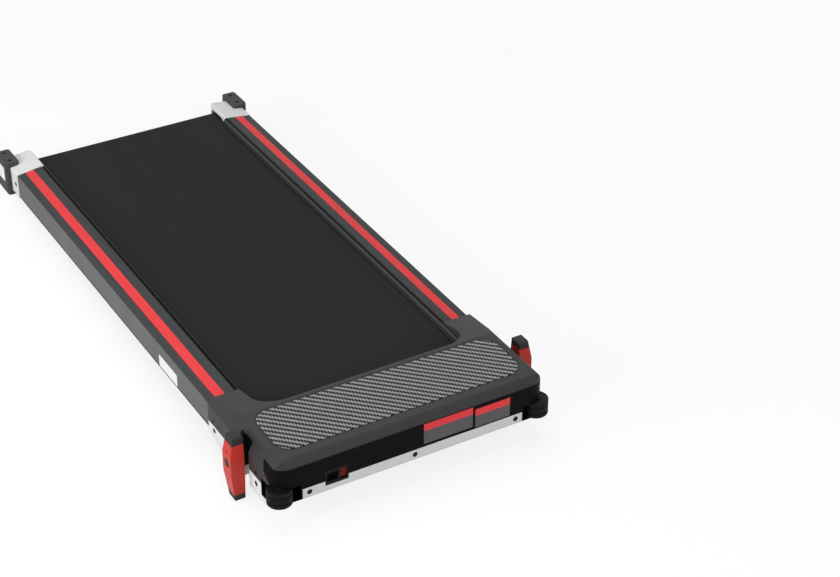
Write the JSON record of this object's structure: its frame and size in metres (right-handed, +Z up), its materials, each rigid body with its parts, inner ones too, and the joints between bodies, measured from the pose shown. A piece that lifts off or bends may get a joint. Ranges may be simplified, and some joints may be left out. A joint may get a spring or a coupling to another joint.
{
  "type": "two-sided walking pad",
  "caption": "Low walking pad with a black belt between grey side rails, a motor housing on fold-out red legs, and teal massage nubs on the belt's lower run.",
  "frame": {"origin": "bottom centre of the box round the pad as it stands on its legs and rear feet", "axes": "+X to the right of someone who looks from the motor housing to the rear end, +Y from the motor housing to the rear end, +Z up"},
  "size_m": [0.586, 1.2572, 0.1327],
  "materials": {
    "rail_grey": "satin dark grey powder coat on an aluminium section",
    "stripe_red": "smooth red strip",
    "belt_black": "matt black walking belt",
    "nub_teal": "soft teal massage nubs",
    "deck_wood": "laminated board",
    "steel": "plain turned or bright steel",
    "frame_black": "black painted steel",
    "soft_rubber": "dark grey rubber",
    "cap_pale": "pale grey moulded plastic",
    "hood_grey": "satin dark grey moulded plastic",
    "fascia_black": "black moulded plastic",
    "carbon_look": "glossy woven-look inlay",
    "cover_grey": "light grey moulded plastic",
    "leg_red": "red paint",
    "motor_dark": "black painted motor can",
    "black_plastic": "black moulded plastic",
    "rocker_red": "glossy red rocker"
  },
  "bodies": {
    "pad": {"left_side_rail": "rail_grey", "right_side_rail": "rail_grey", "left_stripe": "stripe_red", "right_stripe": "stripe_red", "treadmill_deck": "deck_wood", "massage_deck": "deck_wood", "cross_members": "frame_black", "deck_cushions": "soft_rubber", "walking_belt": "belt_black", "massage_nubs": "nub_teal", "front_axle": "steel", "rear_axle": "steel", "tension_bolts": "steel", "left_rear_cap": "cap_pale", "right_rear_cap": "cap_pale", "left_axle_block": "black_plastic", "right_axle_block": "black_plastic", "left_rear_foot": "soft_rubber", "right_rear_foot": "soft_rubber", "cap_screws": "steel", "front_frame": "frame_black", "drive_motor": "motor_dark", "motor_cradle": "frame_black", "drive_belt": "soft_rubber", "motor_controller": "motor_dark", "power_inlet": "black_plastic", "motor_hood": "hood_grey", "front_fascia": "fascia_black", "hood_panel": "carbon_look", "bottom_cover": "cover_grey", "bottom_panel": "carbon_look", "ramp_strip": "cover_grey", "cover_screws": "frame_black", "left_leg_hub": "fascia_black", "right_leg_hub": "fascia_black", "leg_pivot_bolts": "frame_black", "left_wheel_housing": "fascia_black", "right_wheel_housing": "fascia_black", "wheel_axles": "steel"},
    "front_roller_body": {"front_roller": "steel", "front_roller_bearings": "steel", "roller_pulley": "black_plastic"},
    "rear_roller_body": {"rear_roller": "steel", "rear_roller_bearings": "steel"},
    "motor_rotor": {"motor_shaft": "steel", "motor_pulley": "steel", "motor_fan": "black_plastic"},
    "left_leg_body": {"left_leg": "leg_red", "left_leg_pads": "soft_rubber"},
    "right_leg_body": {"right_leg": "leg_red", "right_leg_pads": "soft_rubber"},
    "left_wheel_body": {"left_corner_wheel": "black_plastic"},
    "right_wheel_body": {"right_corner_wheel": "black_plastic"},
    "rocker_body": {"power_rocker": "rocker_red"}
  },
  "joints": [
    {"name": "front_roller_spin", "type": "hinge", "parent": "pad", "child": "front_roller_body", "pos_m": [0, -0.48193, 0.07056], "axis": [1, 0, 0], "continuous": true},
    {"name": "rear_roller_spin", "type": "hinge", "parent": "pad", "child": "rear_roller_body", "pos_m": [0, 0.57647, 0.03515], "axis": [1, 0, 0], "continuous": true},
    {"name": "motor_spin", "type": "hinge", "parent": "pad", "child": "motor_rotor", "pos_m": [0, -0.53517, 0.06433], "axis": [1, 0, 0], "continuous": true},
    {"name": "left_leg_fold", "type": "hinge", "parent": "pad", "child": "left_leg_body", "pos_m": [-0.268, -0.50579, 0.07536], "axis": [1, 0, 0], "range_deg": [0, 180]},
    {"name": "right_leg_fold", "type": "hinge", "parent": "pad", "child": "right_leg_body", "pos_m": [0.268, -0.50579, 0.07536], "axis": [1, 0, 0], "range_deg": [0, 180]},
    {"name": "left_wheel_spin", "type": "hinge", "parent": "pad", "child": "left_wheel_body", "pos_m": [-0.2474, -0.60667, 0.04772], "axis": [0, 0.0334, 0.9994], "continuous": true},
    {"name": "right_wheel_spin", "type": "hinge", "parent": "pad", "child": "right_wheel_body", "pos_m": [0.2474, -0.60667, 0.04772], "axis": [0, 0.0334, 0.9994], "continuous": true},
    {"name": "power_rocker_tip", "type": "hinge", "parent": "pad", "child": "rocker_body", "pos_m": [-0.141, -0.61411, 0.07348], "axis": [-1, 0, 0], "range_deg": [0, 14]}
  ],
  "couplings": [
    {"joint": "rear_roller_spin", "follows": "front_roller_spin", "ratio": 1},
    {"joint": "motor_spin", "follows": "front_roller_spin", "ratio": 1.5454}
  ]
}
